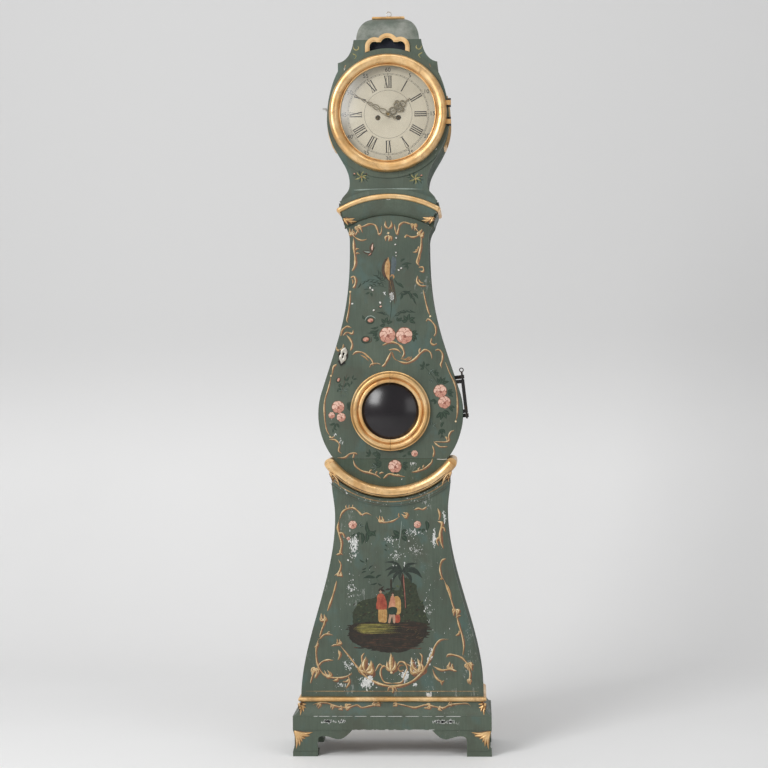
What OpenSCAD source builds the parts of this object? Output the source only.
// Rococo longcase clock: sliding hood, hinged trunk door, eight-day two-train
// movement, seconds pendulum and two weights. Front faces -Y, floor is Z = 0.

/* [Case] */
// Depth of the plinth from front to back
depth = 300; // [298:1:310]
// Half of the plinth's width
plinth_half = 316; // [310:1:330]
// Height of the bracket feet
foot_h = 84; // [84:1:84]
// Thickness of the side boards
board = 12; // [9:1:12]
// Thickness of the front panels
panel = 20; // [16:1:20]
// Front face of the base
base_face = -118; // [-118:1:-116]
// Front face of the trunk
trunk_face = -94; // [-94:1:-94]

/* [Trunk] */
// Height of the middle of the round belly
belly_z = 1086; // [1080:1:1090]
// Radius of the round belly
belly_r = 232; // [230:1:233]
// Half of the waist's width
waist_half = 126; // [125:1:130]
// Height of the lenticle and of the pendulum bob
lenticle_z = 1096; // [1086:1:1106]
// Radius of the lenticle's opening
lenticle_r = 92; // [84:1:94]

/* [Hood] */
// Height of the dial's middle
dial_z = 2047; // [2046:1:2048]
// Radius of the hood's round body
hood_r = 195; // [194:1:196]
// Front face of the hood
hood_face = -112; // [-112:1:-112]
// Height of the dome's top
dome_top = 2361; // [2350:1:2370]
// Radius of the opening for the dial
dial_opening_r = 158; // [150:1:160]

/* [Movement] */
// Length of the pendulum from its bend to the bob's middle
pendulum_length = 1032.5; // [1000:0.5:1040]
// Radius of the pendulum bob
bob_r = 75; // [60:1:80]
// Radius of each weight
weight_r = 26; // [20:1:27]
// Length of each weight's body
weight_length = 200; // [150:1:220]
// Height of the pulley axle when a weight is down
pulley_z = 600; // [560:1:700]

/* [Hidden] */
$fn = 64;

gilt = "goldenrod";
paint = "darkseagreen";
brass = "gold";
steel = "silver";
iron = "dimgray";
wood = "burlywood";

back = depth / 2;
back_board = 12;
back_face = back - back_board;
front = -depth / 2;

// Heights of the mouldings round the base
plinth_top = 128;
cove_top = 170;
fillet_top = 185;
base_top = 894;
door_foot = 943.5;
cut_r = 268.5;
torus_tip = 39;

// The mouldings under the hood are arcs about one point
arch_z = 1466.5;
shoulder_z = 2184;
roof_z = 2283;
pad_h = 15;
door_arch = 256.5;
cove_in = 258;
cove_out = 306;
torus_r = 314.5;
sill_in = 323.4;
sill_out = 338;

// Hinge of the trunk door: its pin leans towards the clock's middle
hinge_x = 237.4;
hinge_y = -92;
hinge_z = 1142;
hinge_lean = 6.2;
eye_r = 6.5;
pin_r = 3;
running = 0.05;

// Hinge of the bezel
bezel_axis_x = 198.5;
bezel_axis_y = -122;

// Plates of the movement, and the arbors in the plane of the dial
front_plate = [-64, -61];
back_plate = [3, 6];
going_at = [33, -11];
centre_at = [0, 0];
third_at = [13, 31.4];
escape_at = [0, 56.6];
anchor_at = [0, 81.5];
minute_at = [0, -23.4];
strike_at = [-33, -11];
pin_at = [-40, 20.4];
hoop_at = [-30, 43.5];
fly_at = [-42, 58.1];
hammer_at = [-63, 40];
great_m = 0.6692;
centre_m = 1;
third_m = 0.9;
strike_m = 0.7;
hoop_m = 0.6;
cannon_m = 0.65;
hour_m = 0.6;
arbor_r = 1.5;
drum_r = 17;
line_r = 0.8;
sheave_r = 18;
line_y = -30;
seat_z = 1985;
pendulum_y = 24;
bob_z = dial_z + anchor_at[1] - pendulum_length;

function bend(a, b, c, d, n = 16) = [
    for (i = [0:n])
        let (t = i / n, u = 1 - t)
        u * u * u * a + 3 * u * u * t * b + 3 * u * t * t * c + t * t * t * d
];
function arc(z, r, from, to, n = 16) = [
    for (i = [0:n])
        let (a = from + (to - from) * i / n)
        [r * cos(a), z + r * sin(a)]
];
function flip(points) = [for (p = points) [-p[0], p[1]]];
function reverse(points) = [for (i = [len(points) - 1:-1:0]) points[i]];
function shifted(points, dx) = [for (p = points) [p[0] + dx, p[1]]];
// Angle above +X at which an arc of radius r reaches half-width x
function reach(x, r) = acos(x / r);
// Direction from one arbor to another
function toward(a, b) = atan2(b[1] - a[1], b[0] - a[0]);

// Right-hand outlines, from bottom to top
base_edge = concat(
    bend([291.5, fillet_top + 0.2], [288, 370], [178.5, 560], [178.5, 760], 24),
    bend([178.5, 760], [178.5, 800], [187, 830], [188, 860], 8),
    [[188, base_top]]
);
belly_edge = arc(belly_z, belly_r, -torus_tip + 0.8, 18, 16);
belly_end = belly_edge[len(belly_edge) - 1];
shoulder_pull = 210;
waist_edge = bend(
    belly_end, belly_end + shoulder_pull * [-sin(18), cos(18)],
    [waist_half, 1420], [waist_half, 1640], 24
);
throat_edge = bend([waist_half, 1640], [waist_half, 1665], [135, 1680], [143, 1692], 8);
hood_edge = concat(
    bend([152, 1769], [146, 1790], [124, 1790], [124, 1825], 10),
    bend([124, 1825], [124, 1872], [157, 1903], [178, 1949], 14),
    arc(2029, hood_r, -23, 5, 10),
    bend([194.3, 2047], [192.5, 2100], [176, 2150], [159, shoulder_z], 12)
);
flank_edge = bend([159, shoulder_z + 26], [128, shoulder_z + 31], [113, roof_z - 37], [108, roof_z], 12);

// Extrudes an outline drawn in X and Z between two depths
module slab(y0, y1) {
    translate([0, y1, 0]) rotate([90, 0, 0]) linear_extrude(y1 - y0) children();
}
// Sweeps a section (radius, distance in front of y = 0) about the line x = 0, z
module sweep(z, from, to) {
    translate([0, 0, z]) rotate([90, 0, 0]) rotate([0, 0, from])
        rotate_extrude(angle = to - from, $fn = 128) children();
}
module full_sweep(x, z) {
    translate([x, 0, z]) rotate([90, 0, 0]) rotate_extrude($fn = 96) children();
}
module rod(x, z, r, y0, y1) {
    translate([x, y1, z]) rotate([90, 0, 0]) cylinder(r = r, h = y1 - y0, $fn = 32);
}
module block(low, high) {
    translate(low) cube(high - low);
}
// A moulding that runs round the front and both sides, mitred at the corners
module mitred(section, half, y0, z1, z0) {
    intersection() {
        slab(front - 20, back_face) polygon(concat(
            [for (p = section) [half + p[0], p[1]]],
            reverse([for (p = section) [-half - p[0], p[1]]])
        ));
        rotate([90, 0, 90]) translate([0, 0, -400]) linear_extrude(800) polygon(concat(
            [for (p = section) [y0 - p[0], p[1]]], [[back_face, z1], [back_face, z0]]
        ));
    }
}
module both_sides() {
    children();
    mirror([1, 0, 0]) children();
}
module ribbon(edge, t) {
    polygon(concat(edge, reverse(shifted(edge, -t))));
}

module bracket() {
    polygon(concat(
        [[127, foot_h]],
        bend([127, foot_h - 1], [138, 72], [152, 54], [171, 54], 6),
        bend([171, 54], [190, 56], [200, 64], [216, 64], 6),
        bend([216, 64], [230, 64], [237, 60], [237, 50], 4),
        [[237, pad_h]],
        bend([plinth_half, pad_h], [plinth_half - 5, 34], [plinth_half - 12, 48], [plinth_half, foot_h], 8)
    ));
}
module feet() {
    color(paint) both_sides() {
        slab(front + 2, front + 18) bracket();
        translate([plinth_half - 22, 0, 0]) rotate([90, 0, 90]) linear_extrude(18)
            for (end = [front + 18.1, back])
                let (side = sign(end))
                polygon(concat(
                    [[end, pad_h], [end, foot_h], [side * 30, foot_h]],
                    bend([side * 30, foot_h], [side * 46, 56], [side * 76, 66], [side * 82, pad_h], 8)
                ));
        block([plinth_half - 72, back - 40, pad_h], [plinth_half - 18, back, foot_h]);
        for (y = [front, back - 64])
            block([plinth_half - 79, y, 0], [plinth_half, y + 64, pad_h]);
    }
}
module plinth_block() {
    color(paint) difference() {
        block([-plinth_half, front, foot_h], [plinth_half, back, plinth_top]);
        block([-plinth_half + 18, front + 18, foot_h - 1], [plinth_half - 18, back + 1, plinth_top + 1]);
    }
}
module base_cove() {
    section = bend([22, plinth_top], [16, plinth_top + 6], [2, plinth_top + 17], [0, cove_top], 8);
    color(paint) difference() {
        mitred(section, 290, -124, cove_top, plinth_top);
        block([-278, -100, 100], [278, back, 200]);
    }
}
module base_fillet() {
    middle = (cove_top + fillet_top) / 2;
    section = [for (a = [-90:22.5:90]) [2 + 8 * cos(a), middle + 7.5 * sin(a)]];
    color(gilt) difference() {
        mitred(section, 290, -124, fillet_top, cove_top);
        block([-278, -100, 100], [278, back, 200]);
    }
}
module base_front() {
    color(paint) slab(base_face, base_face + panel) difference() {
        polygon(concat(base_edge, reverse(flip(base_edge))));
        translate([0, belly_z]) circle(r = cut_r, $fn = 128);
    }
}
module base_box() {
    color(wood) {
        both_sides() slab(base_face + panel, back_face) difference() {
            ribbon(base_edge, board);
            translate([0, belly_z]) circle(r = cut_r, $fn = 128);
        }
        block([-270, base_face + panel, fillet_top + 4], [270, back_face, fillet_top + 22]);
    }
}
module backboard() {
    inner = concat(
        [[290, 88], [286, fillet_top - 1]], base_edge,
        [[181, base_top + 1]], belly_edge, waist_edge, [[110, 1641], [110, 1790]],
        [for (p = shifted(hood_edge, -board - 1)) if (p[1] > 1800) p],
        bend([143, shoulder_z + 15], [117, shoulder_z + 20], [102, roof_z - 47], [96, roof_z - 14], 12)
    );
    color(wood) slab(back_face, back) polygon(concat(inner, reverse(flip(inner))));
}
module lower_torus() {
    lip = belly_r + 0.5;
    tip = arc(belly_z, 250, -torus_tip, -torus_tip, 1)[0];
    color(gilt) {
        sweep(belly_z, -180 + torus_tip, -torus_tip) union() {
            translate([250, -base_face]) circle(r = 17.5);
            translate([lip, -trunk_face - panel]) square([35, -base_face + trunk_face + panel]);
        }
        both_sides() difference() {
            rod(tip[0], tip[1], 16.8, base_face - 4, back_face);
            block([160, trunk_face + panel, base_top], [184.1, back, belly_z]);
        }
    }
}
module lower_cove() {
    section = concat([[269, 118.1]], bend([269, 131], [276, 122], [284, 121], [294, 121], 8), [[294, 118.1]]);
    side = reach(190, 294);
    color(gilt) sweep(belly_z, -180 + side, -side) polygon(section);
}
module trunk_carcase() {
    side = concat([[181.2, base_top + 0.5]], belly_edge, waist_edge, throat_edge, [[143, 1729]]);
    color(wood) {
        difference() {
            both_sides() slab(trunk_face + panel + 0.5, back_face) ribbon(side, board);
            block([-185, -72, 1266], [-160, -62, 1284]);
        }
        slab(trunk_face, trunk_face + panel) intersection() {
            translate([0, belly_z]) circle(r = belly_r, $fn = 128);
            translate([-250, 800]) square([500, door_foot - 0.5 - 800]);
        }
        slab(trunk_face, trunk_face + panel) intersection() {
            difference() {
                translate([0, arch_z]) circle(r = cove_out, $fn = 128);
                translate([0, arch_z]) circle(r = cove_in, $fn = 128);
            }
            translate([-142, 1600]) square([284, 300]);
        }
    }
}
module top_cove() {
    section = concat([[cove_in, 94.1]], bend([cove_in, 97], [262, 110], [284, 122], [cove_out - 2, 122], 10),
        [[cove_out, 122], [cove_out, 94.1]]);
    lean = reach(152, cove_out);
    color(paint) {
        sweep(arch_z, lean, 180 - lean) polygon(section);
        both_sides() slab(-94, back_face)
            polygon([[143.2, 1692], [147, 1706], [152, 1718], [156, 1728], [143.2, 1728]]);
    }
}
module top_torus() {
    lean = reach(158, torus_r);
    color(gilt) {
        sweep(arch_z, lean, 180 - lean) union() {
            translate([torus_r, 122]) circle(r = 8.4);
            translate([torus_r - 8.2, 94]) square([16.4, 28]);
        }
        both_sides() rod(158, arch_z + torus_r * sin(lean), 8, -124, back_face);
    }
}
module seatboard_frame() {
    color(wood) {
        both_sides() block([99, -62, 1560], [111, back_face, seat_z - 20]);
        difference() {
            block([-111, -80, seat_z - 20], [111, 14, seat_z]);
            both_sides() {
                block([47, -54, seat_z - 21], [55, -8, seat_z + 1]);
                translate([line_x, line_y, seat_z - 21]) cylinder(r = 3, h = 22);
            }
        }
    }
}
barrel_x = going_at[0] + drum_r + line_r;
weight_x = barrel_x + sheave_r;
line_x = weight_x + sheave_r;

module on_hinge() {
    translate([hinge_x, hinge_y, hinge_z]) rotate([0, -hinge_lean, 0]) children();
}
module case_hinge() {
    color(iron) on_hinge() {
        for (s = [[-68, -56, -13], [56, 68, -29]]) {
            difference() {
                union() {
                    translate([0, 0, s[0]]) cylinder(r = eye_r, h = s[1] - s[0]);
                    block([-4, 0, s[0]], [6, 36, s[1]]);
                    block([s[2], 24, s[0]], [6, 36, s[1]]);
                }
                translate([0, 0, s[0] - 1]) cylinder(r = pin_r, h = 20);
            }
        }
        translate([0, 0, -72]) cylinder(r = pin_r, h = 150);
        translate([0, 0, 84]) rotate([90, 0, 0]) rotate_extrude($fn = 32) translate([6, 0]) circle(r = 1.6, $fn = 16);
    }
}
module door_hinge() {
    color(iron) on_hinge() difference() {
        union() {
            translate([0, 0, -54]) cylinder(r = eye_r - 1, h = 108);
            for (s = [[-54, -42, -18], [42, 54, -32]])
                block([s[2], -1, s[0]], [0, 8, s[1]]);
        }
        translate([0, 0, -60]) cylinder(r = pin_r + running, h = 120);
    }
}
module trunk_door() {
    side = reach(143, door_arch);
    edge = concat([[180, door_foot]], [for (p = belly_edge) if (p[1] > door_foot) p], waist_edge, throat_edge,
        [for (p = arc(arch_z, door_arch, side, 90, 12)) if (p[1] > 1684) p]);
    color(paint) difference() {
        slab(trunk_face, trunk_face + panel) difference() {
            intersection() {
                polygon(concat(edge, reverse(flip(edge))));
                union() {
                    translate([0, arch_z]) circle(r = door_arch, $fn = 128);
                    translate([-300, 900]) square([600, 600]);
                }
            }
            translate([0, lenticle_z]) circle(r = lenticle_r, $fn = 96);
            translate([-150, 1275]) square([5, 16], center = true);
        }
    }
}
module lenticle_ring() {
    inner_r = lenticle_r - 1;
    section = concat(
        [[inner_r, 94], [inner_r, 104]], bend([inner_r, 110], [inner_r + 3, 114], [inner_r + 11, 115], [inner_r + 13, 108], 8),
        bend([inner_r + 13.5, 108], [inner_r + 15, 122], [inner_r + 28, 126], [inner_r + 33.5, 106], 12),
        [[inner_r + 36.5, 104], [inner_r + 36.5, 94]]
    );
    color(gilt) difference() {
        full_sweep(0, lenticle_z) polygon(section);
        for (z = [-1, 1])
            block([-0.5, -130, lenticle_z + z * 110 - 24], [0.5, -102, lenticle_z + z * 110 + 24]);
    }
}
module lenticle_glass() {
    dome_r = 190;
    dome_y = 99 - sqrt(dome_r * dome_r - lenticle_r * lenticle_r);
    color("black") full_sweep(0, lenticle_z) difference() {
        intersection() {
            translate([0, dome_y]) circle(r = dome_r, $fn = 256);
            translate([0, 80]) square([lenticle_r - 1.2, 60]);
        }
        translate([0, dome_y - 3]) circle(r = dome_r, $fn = 256);
    }
}
module door_lock() {
    color(iron) difference() {
        union() {
            slab(trunk_face - 3, trunk_face) translate([-150, 1275]) rotate(-14) union() {
                circle(r = 15);
                translate([0, -22]) rotate(45) square(18, center = true);
            }
            block([-158, trunk_face + panel, 1247], [-122, trunk_face + panel + 14, 1303]);
        }
        slab(trunk_face - 4, trunk_face + panel) translate([-150, 1275]) square([5, 16], center = true);
        block([-159, -71.2, 1267.8], [-128, -62.8, 1282.2]);
    }
}
module lock_bolt() {
    color(steel) block([-157.5, -71, 1268], [-130, -63, 1282]);
}

module hood_outline() {
    whole = concat(hood_edge, flank_edge);
    difference() {
        union() {
            polygon(concat(whole, reverse(flip(whole))));
            cartouche(13);
        }
        translate([0, arch_z]) circle(r = sill_out, $fn = 128);
    }
}
module cartouche(grow) {
    lobe_x = 41;
    lobe_z = 2260;
    crown_z = lobe_z + 6;
    difference() {
        union() {
            translate([0, crown_z]) circle(r = 22 + grow);
            for (x = [-lobe_x, lobe_x])
                translate([x, lobe_z]) circle(r = 16 + grow);
            translate([-lobe_x - 16 - grow, 2220]) square([2 * (lobe_x + 16 + grow), lobe_z - 2220]);
            translate([-lobe_x, 2230]) square([2 * lobe_x, lobe_z - 2230 + 14 + grow]);
        }
        translate([0, dial_z]) circle(r = 207.2, $fn = 128);
    }
}
module hood_front() {
    color(paint) {
        slab(hood_face, hood_face + 18) difference() {
            hood_outline();
            translate([0, dial_z]) circle(r = dial_opening_r, $fn = 128);
            cartouche(0);
        }
        slab(hood_face - 4, hood_face) intersection() {
            hood_outline();
            difference() {
                translate([0, dial_z]) circle(r = 207, $fn = 128);
                translate([0, dial_z]) circle(r = dial_opening_r, $fn = 128);
            }
        }
    }
}
module window_zone(grow) {
    both_sides() block([100, -30 - grow, 1955 - grow], [260, 80 + grow, 2102 + grow]);
}
module hood_sides() {
    color(paint) difference() {
        both_sides() slab(hood_face + 18.1, back) ribbon(hood_edge, board);
        window_zone(0);
    }
}
module window_frames() {
    color(gilt) difference() {
        intersection() {
            both_sides() slab(-45, 95) ribbon(shifted(hood_edge, 5), 4.9);
            window_zone(9);
        }
        window_zone(0);
    }
}
module window_glass() {
    color("lightblue") intersection() {
        both_sides() slab(-30, 80) ribbon(shifted(hood_edge, -5), 3);
        window_zone(-0.2);
    }
}
module hood_roof() {
    outer = concat([[159, shoulder_z + 0.3]], flank_edge);
    inner = concat([[147, shoulder_z + 0.3], [147, shoulder_z + 15]],
        bend([144, shoulder_z + 17], [118, shoulder_z + 22], [103, roof_z - 45], [97, roof_z - 12], 12));
    color(paint) difference() {
        slab(hood_face + 18.1, back) polygon(concat(
            outer, reverse(flip(outer)), flip(inner), reverse(inner)
        ));
        slab(hood_face + 17, hood_face + 20.2) cartouche(6.3);
    }
}
module roof_dome() {
    section = bend([0, roof_z + 0.2], [0, roof_z + 33], [-14, dome_top - 12], [-50, dome_top], 14);
    color(paint) difference() {
        intersection() {
            slab(-94, 110) polygon(concat(
                [for (p = section) [101 + p[0], p[1]]], reverse([for (p = section) [-101 - p[0], p[1]]])
            ));
            rotate([90, 0, 90]) translate([0, 0, -110]) linear_extrude(220) polygon(concat(
                [for (p = section) [-92 - p[0], p[1]]], reverse([for (p = section) [108 + p[0], p[1]]])
            ));
        }
        block([-60, -40, roof_z - 5], [60, 60, roof_z + 41]);
    }
}
module dome_moulding() {
    section = [for (a = [-90:22.5:90]) [5 * cos(a), dome_top + 5 + 5 * sin(a)]];
    color(gilt) intersection() {
        slab(-50, 70) polygon(concat(
            [for (p = section) [48 + p[0], p[1]]], reverse([for (p = section) [-48 - p[0], p[1]]])
        ));
        rotate([90, 0, 90]) translate([0, 0, -60]) linear_extrude(120) polygon(concat(
            [for (p = section) [-36 - p[0], p[1]]], reverse([for (p = section) [52 + p[0], p[1]]])
        ));
    }
}
module hanging_eye() {
    color(steel) {
        translate([0, 8, dome_top + 10]) cylinder(r = 1.6, h = 9, $fn = 24);
        translate([0, 8, dome_top + 26]) rotate([90, 0, 0]) rotate_extrude($fn = 48)
            translate([8, 0]) circle(r = 1.6, $fn = 16);
    }
}
module cartouche_moulding() {
    color(gilt) {
        slab(hood_face - 5, hood_face) difference() {
            cartouche(14);
            cartouche(0);
        }
        slab(hood_face - 8, hood_face - 5) difference() {
            cartouche(11);
            cartouche(4);
        }
    }
}
module cartouche_cloth() {
    color("midnightblue") slab(hood_face + 18.1, hood_face + 19.7) cartouche(6);
}
module hood_base() {
    lean = reach(156, sill_out);
    foot = arch_z + sill_in * sin(reach(156, sill_in));
    color(paint) {
        sweep(arch_z, lean, 180 - lean) translate([sill_in, 94]) square([sill_out - sill_in - 0.2, 30]);
        both_sides() slab(hood_face + 18.1, back_face) difference() {
            translate([134, foot]) square([26, 13]);
            translate([0, arch_z]) circle(r = sill_in, $fn = 128);
        }
    }
}
module bezel_hinge() {
    color(brass) for (z = [dial_z - 30, dial_z + 30]) {
        translate([bezel_axis_x, bezel_axis_y, z - 14]) cylinder(r = 1.5, h = 28, $fn = 24);
        for (s = [-14, 8])
            difference() {
                union() {
                    translate([bezel_axis_x, bezel_axis_y, z + s]) cylinder(r = 3, h = 6, $fn = 24);
                    block([190, bezel_axis_y + 2.2, z + s], [bezel_axis_x + 2, bezel_axis_y + 5.8, z + s + 6]);
                }
                translate([bezel_axis_x, bezel_axis_y, z + s - 1]) cylinder(r = 1.5, h = 8, $fn = 24);
            }
    }
}
module dial_bezel() {
    section = concat([[151, 117], [151, 123]], bend([151, 127], [152, 129], [154.5, 129], [155.5, 125], 8),
        bend([156, 125], [157, 139], [168, 142], [174, 142], 10),
        bend([174, 142], [184, 142], [189, 134], [189, 117], 10));
    color(gilt) {
        full_sweep(0, dial_z) polygon(section);
        for (z = [dial_z - 30, dial_z + 30])
            difference() {
                union() {
                    translate([bezel_axis_x, bezel_axis_y, z - 7.5]) cylinder(r = 3, h = 15, $fn = 24);
                    block([182, bezel_axis_y - 3, z - 7.5], [bezel_axis_x, bezel_axis_y, z + 7.5]);
                }
                translate([bezel_axis_x, bezel_axis_y, z - 8.5]) cylinder(r = 1.5 + running, h = 17, $fn = 24);
            }
    }
}
module dial_glass() {
    dome_r = 700;
    color("lightblue") full_sweep(0, dial_z) difference() {
        intersection() {
            translate([0, 141 - dome_r]) circle(r = dome_r, $fn = 360);
            translate([0, 110]) square([150.8, 60]);
        }
        translate([0, 138 - dome_r]) circle(r = dome_r, $fn = 360);
    }
}
module hood_latch() {
    color(steel) {
        translate([-200, -104, 2062]) rotate([0, 90, 0]) cylinder(r = 5, h = 4, $fn = 24);
        block([-200, -124, 2059], [-197, -104, 2065]);
        block([-208, -124, 2059], [-197, -121, 2065]);
    }
}

// A toothed outline; tooth_at is the direction of one tooth's middle
module teeth(count, m, tooth_at) {
    step = 360 / count;
    small = count < 10;
    r_tip = m * (count / 2 + (small ? 0.65 : 0.85));
    r_root = m * (count / 2 - (small ? 1.2 : 1.1));
    at_tip = step * (small ? 0.07 : 0.08);
    at_root = step * (small ? 0.19 : 0.25);
    polygon([
        for (i = [0:count - 1])
            for (p = [[r_root, -at_root], [r_tip, -at_tip], [r_tip, at_tip], [r_root, at_root]])
                let (a = tooth_at + i * step + p[1])
                [p[0] * cos(a), p[0] * sin(a)]
    ]);
}
// A crossed-out wheel on an arbor
module wheel(at, count, m, y0, y1, tooth_at) {
    r = m * count / 2;
    translate([at[0], 0, dial_z + at[1]]) slab(y0, y1) difference() {
        teeth(count, m, tooth_at);
        for (a = [0:72:288])
            rotate(a) translate([r * 0.58, 0]) circle(r = r * 0.24, $fn = 32);
    }
}
module pinion(at, count, m, y0, y1, gap_at) {
    translate([at[0], 0, dial_z + at[1]]) slab(y0, y1) teeth(count, m, gap_at + 180 / count);
}
module arbor(at, y0, y1, r = arbor_r) {
    rod(at[0], dial_z + at[1], r, y0, y1);
}
module barrel(at) {
    arbor(at, -52, -50, 20);
    arbor(at, -50, -11, drum_r);
    arbor(at, -11, -9, 20);
    arbor(at, -94.8, back_plate[1] + 1, 2.6);
}
module going_wheel() {
    color(brass) {
        barrel(going_at);
        arbor(going_at, -9, -1, 6);
        wheel(going_at, 96, great_m, -3, -0.5, toward(going_at, centre_at));
    }
}
module strike_wheel() {
    color(brass) {
        barrel(strike_at);
        wheel(strike_at, 84, strike_m, -8.5, -6, toward(strike_at, pin_at));
    }
}
module centre_wheel() {
    color(brass) {
        wheel(centre_at, 60, centre_m, -59, -57, toward(centre_at, third_at));
        pinion(centre_at, 8, great_m, -4.5, 1, toward(centre_at, going_at));
        arbor(centre_at, -102.5, back_plate[1] + 1);
        arbor(centre_at, -90, -64.5, 3);
        wheel(centre_at, 36, cannon_m, -68, -66, toward(centre_at, minute_at));
    }
}
module third_wheel() {
    color(brass) {
        wheel(third_at, 56, third_m, -30, -28, toward(third_at, escape_at));
        pinion(third_at, 8, centre_m, -60, -56, toward(third_at, centre_at));
        arbor(third_at, front_plate[0] - 0.5, back_plate[1] + 1);
    }
}
module escape_wheel() {
    tip = 17.5;
    root = 13.5;
    color(brass) {
        translate([escape_at[0], 0, dial_z + escape_at[1]]) slab(-44, -42.5) difference() {
            polygon([
                for (i = [0:29])
                    for (p = [[root, 0], [tip, 4.5], [tip, 5.5], [root, 7]])
                        [p[0] * cos(i * 12 + p[1]), p[0] * sin(i * 12 + p[1])]
            ]);
            for (a = [45:90:315])
                rotate(a) translate([8, 0]) circle(r = 3.6, $fn = 32);
        }
        pinion(escape_at, 7, third_m, -31, -27, toward(escape_at, third_at));
        arbor(escape_at, front_plate[0] - 0.5, back_plate[1] + 1);
    }
}
module anchor() {
    arm = 130;
    color(steel) {
        arbor(anchor_at, front_plate[0] - 0.5, 12);
        translate([0, 0, dial_z + anchor_at[1]]) slab(-45, -41.5) difference() {
            union() {
                circle(r = 4.5, $fn = 32);
                for (side = [-1, 1])
                    rotate(side * 38) translate([side * 2 - 2, -22]) square([4, 22]);
            }
            translate([0, escape_at[1] - anchor_at[1]]) circle(r = 18.4, $fn = 64);
        }
        translate([0, 0, dial_z + anchor_at[1]]) slab(9.5, 12) union() {
            circle(r = 4.5, $fn = 32);
            translate([-2, -arm]) square([4, arm]);
            translate([-9, -arm - 4]) square([18, 5]);
        }
        for (side = [-1, 1])
            block([side * 6.6 - 2, 9.5, dial_z + anchor_at[1] - arm - 4],
                  [side * 6.6 + 2, 30, dial_z + anchor_at[1] - arm + 1]);
    }
}
module minute_wheel() {
    color(brass) difference() {
        union() {
            wheel(minute_at, 36, cannon_m, -68, -66, toward(minute_at, centre_at) + 5);
            pinion(minute_at, 6, hour_m, -75, -68, toward(minute_at, centre_at));
            arbor(minute_at, -76, -64.5, 1.2);
        }
        arbor(minute_at, -77, -64, 0.8);
    }
}
module hour_wheel() {
    color(brass) difference() {
        union() {
            wheel(centre_at, 72, hour_m, -74, -72, toward(centre_at, minute_at));
            arbor(centre_at, -97, -70, 4.6);
        }
        arbor(centre_at, -98, -69, 3.05);
    }
}
module pointer(at_angle, length, tail, y0, y1, bore) {
    translate([0, 0, dial_z]) slab(y0, y1) rotate(-at_angle) difference() {
        union() {
            circle(r = bore + 5, $fn = 32);
            translate([-1.6, -tail]) square([3.2, tail + length * 0.5]);
            translate([0, length * 0.42]) circle(r = length * 0.09, $fn = 32);
            translate([0, length * 0.6]) circle(r = length * 0.06, $fn = 32);
            polygon([[-3, length * 0.5], [3, length * 0.5], [1, length], [-1, length]]);
        }
        circle(r = bore, $fn = 32);
        translate([0, length * 0.42]) circle(r = length * 0.05, $fn = 32);
    }
}
module minute_hand() {
    color(brass) pointer(300, 126, 30, -101.5, -100, arbor_r);
}
module hour_hand() {
    color(brass) pointer(55, 86, 0, -97, -95.5, 4.66);
}
module movement_frame() {
    cock_z = dial_z + anchor_at[1];
    pivots = [going_at, strike_at, centre_at, third_at, escape_at, anchor_at, pin_at, hoop_at, fly_at, hammer_at];
    color(brass) {
        for (y = [front_plate, back_plate])
            slab(y[0], y[1]) difference() {
                translate([-75, dial_z - 62]) square([137, 158]);
                for (p = pivots)
                    translate([p[0], dial_z + p[1]])
                        circle(r = (p == going_at || p == strike_at ? 2.6 : arbor_r) + running, $fn = 32);
            }
        for (p = [[-22, -50], [22, -50], [-48, 88], [55, 86]])
            rod(p[0], dial_z + p[1], 5, front_plate[1], back_plate[0]);
        rod(minute_at[0], dial_z + minute_at[1], 0.76, -76, front_plate[0]);
        // back cock that carries the pendulum
        difference() {
            union() {
                block([-20, back_plate[1], cock_z + 6], [20, back_plate[1] + 26, cock_z + 12]);
                block([-4, pendulum_y - 3.2, cock_z - 4], [4, pendulum_y + 3.2, cock_z + 12]);
            }
            block([-5, pendulum_y - 0.3, cock_z - 5], [5, pendulum_y + 0.3, cock_z + 8]);
        }
    }
}
module dial() {
    color("ivory") {
        slab(-91.5, -89.5) difference() {
            translate([0, dial_z]) circle(r = 165, $fn = 128);
            translate([0, dial_z]) circle(r = 5.5, $fn = 32);
            for (p = [going_at, strike_at])
                translate([p[0], dial_z + p[1]]) circle(r = 6.5, $fn = 32);
        }
        for (x = [-50, 50])
            for (z = [-50, 50])
                rod(x, dial_z + z, 3, -89.5, front_plate[0]);
    }
}
module pin_wheel() {
    color(brass) {
        wheel(pin_at, 64, strike_m, -55.5, -53.8, toward(pin_at, hoop_at));
        pinion(pin_at, 8, strike_m, -9.5, -5, toward(pin_at, strike_at));
        arbor(pin_at, front_plate[0] - 0.5, back_plate[1] + 1);
    }
}
module hoop_wheel() {
    color(brass) {
        wheel(hoop_at, 56, hoop_m, -40, -38.5, toward(hoop_at, fly_at));
        pinion(hoop_at, 8, strike_m, -56.2, -53.2, toward(hoop_at, pin_at));
        arbor(hoop_at, front_plate[0] - 0.5, back_plate[1] + 1);
    }
}
module fly() {
    color(brass) {
        pinion(fly_at, 7, hoop_m, -41, -37.5, toward(fly_at, hoop_at));
        arbor(fly_at, front_plate[0] - 0.5, back_plate[1] + 1, 1.49);
        block([fly_at[0] - 12, -30, dial_z + fly_at[1] - 0.5], [fly_at[0] + 12, -8, dial_z + fly_at[1] + 0.5]);
    }
}
bell_z = dial_z + 118;
module hammer() {
    color(steel) {
        arbor(hammer_at, front_plate[0] - 0.5, back_plate[1] + 1);
        translate([hammer_at[0], 0, dial_z + hammer_at[1]]) slab(-22, -19) rotate(-6) translate([-1.5, 0])
            square([3, 80]);
        translate([hammer_at[0] + 2, -20.5, bell_z + 7]) rotate([0, 90, 0]) cylinder(r = 6, h = 16, $fn = 32);
    }
}
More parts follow.
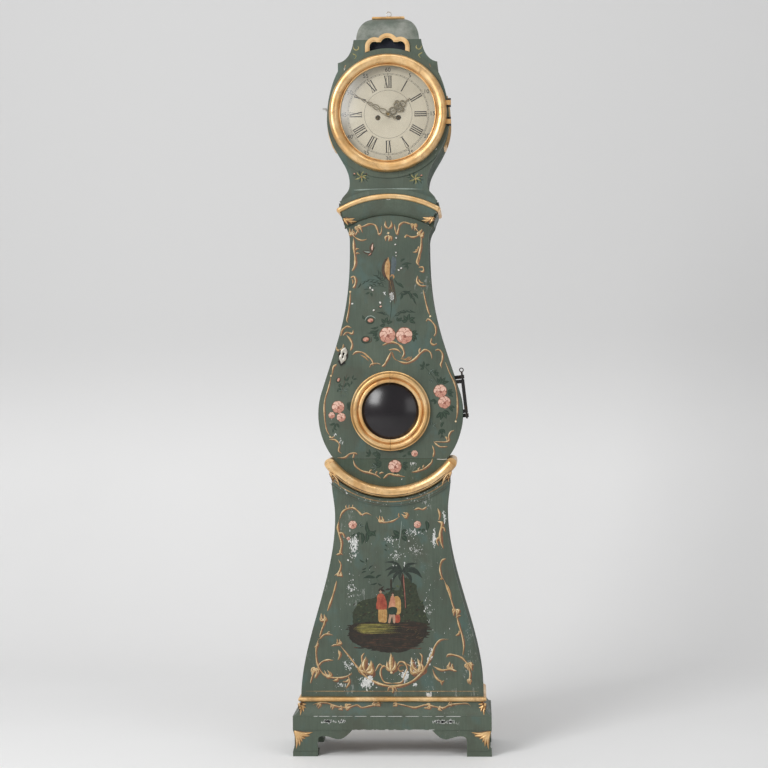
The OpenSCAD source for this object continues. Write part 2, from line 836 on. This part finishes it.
module bell() {
    bell_y = -20.5;
    color(brass) {
        translate([0, bell_y, bell_z]) rotate_extrude($fn = 64) difference() {
            intersection() {
                circle(r = 42);
                square(50);
            }
            intersection() {
                circle(r = 39.5);
                square([60, 39.5]);
            }
        }
        translate([0, bell_y, bell_z + 41.5]) cylinder(r = 4, h = 6, $fn = 32);
        block([-4, bell_y - 4, bell_z + 47.5], [4, back_plate[1] + 8, bell_z + 51]);
        block([-4, back_plate[1], dial_z + 94.1], [4, back_plate[1] + 5, bell_z + 51]);
    }
}
module pendulum_rod() {
    top = dial_z + anchor_at[1];
    color(steel) {
        block([-3, pendulum_y - 0.2, top - 45], [3, pendulum_y + 0.2, top + 6]);
        translate([0, pendulum_y, bob_z - 105]) cylinder(r = 3, h = top - 40 - bob_z + 105, $fn = 32);
        translate([0, pendulum_y, bob_z - 96]) cylinder(r = 12, h = 10, $fn = 48);
    }
}
module pendulum_bob() {
    rim = 1.5;
    bulge = 12.5;
    half = [for (i = [0:10]) [bob_r * i / 10, rim + bulge * (1 - pow(i / 10, 2))]];
    color(brass) translate([0, pendulum_y, bob_z]) difference() {
        rotate([90, 0, 0]) rotate_extrude($fn = 96)
            polygon(concat(half, reverse([for (p = half) [p[0], -p[1]]])));
        translate([0, 0, -90]) cylinder(r = 3.05, h = 180, $fn = 32);
    }
}
module weight() {
    body_top = pulley_z - 45;
    union() {
        translate([weight_x, line_y, body_top - weight_length]) cylinder(r = weight_r, h = weight_length);
        for (y = [line_y - 7, line_y + 4])
            block([weight_x - 5, y, pulley_z - 30], [weight_x + 5, y + 3, pulley_z + 5]);
        block([weight_x - 5, line_y - 7, pulley_z - 33], [weight_x + 5, line_y + 7, pulley_z - 30]);
        translate([weight_x, line_y, body_top]) cylinder(r = 3, h = 13, $fn = 32);
        rod(weight_x, pulley_z, 2, line_y - 8, line_y + 8);
    }
}
module sheave() {
    color(brass) translate([weight_x, line_y, pulley_z]) rotate([90, 0, 0]) rotate_extrude($fn = 64)
        difference() {
            translate([2.05, -3]) square([18.5, 6]);
            translate([sheave_r + 1, 0]) circle(r = 1.9, $fn = 24);
            translate([sheave_r + 1, -1.9]) square([5, 3.8]);
        }
}
module line() {
    color("tan") {
        translate([barrel_x, line_y, pulley_z]) cylinder(r = line_r, h = dial_z + going_at[1] - pulley_z, $fn = 24);
        translate([line_x, line_y, pulley_z]) cylinder(r = line_r, h = seat_z - 4 - pulley_z, $fn = 24);
        translate([weight_x, line_y, pulley_z]) rotate([90, 0, 0]) rotate([0, 0, 180])
            rotate_extrude(angle = 180, $fn = 64) translate([sheave_r, 0]) circle(r = line_r, $fn = 24);
    }
}
module going_weight() {
    color("dimgray") weight();
}
module strike_weight() {
    color("dimgray") mirror([1, 0, 0]) weight();
}
module going_sheave() {
    sheave();
}
module strike_sheave() {
    mirror([1, 0, 0]) sheave();
}
module going_line() {
    line();
}
module strike_line() {
    mirror([1, 0, 0]) line();
}

feet();
plinth_block();
base_cove();
base_fillet();
base_front();
base_box();
backboard();
lower_torus();
lower_cove();
trunk_carcase();
top_cove();
top_torus();
seatboard_frame();
case_hinge();
dial();
movement_frame();
bell();
trunk_door();
lenticle_ring();
lenticle_glass();
door_lock();
door_hinge();
lock_bolt();
hood_front();
hood_sides();
hood_roof();
roof_dome();
dome_moulding();
hanging_eye();
cartouche_moulding();
cartouche_cloth();
window_frames();
window_glass();
hood_base();
bezel_hinge();
dial_bezel();
dial_glass();
hood_latch();
going_wheel();
centre_wheel();
third_wheel();
escape_wheel();
anchor();
minute_wheel();
hour_wheel();
minute_hand();
hour_hand();
pendulum_rod();
pendulum_bob();
strike_wheel();
pin_wheel();
hoop_wheel();
fly();
hammer();
going_weight();
strike_weight();
going_sheave();
strike_sheave();
going_line();
strike_line();
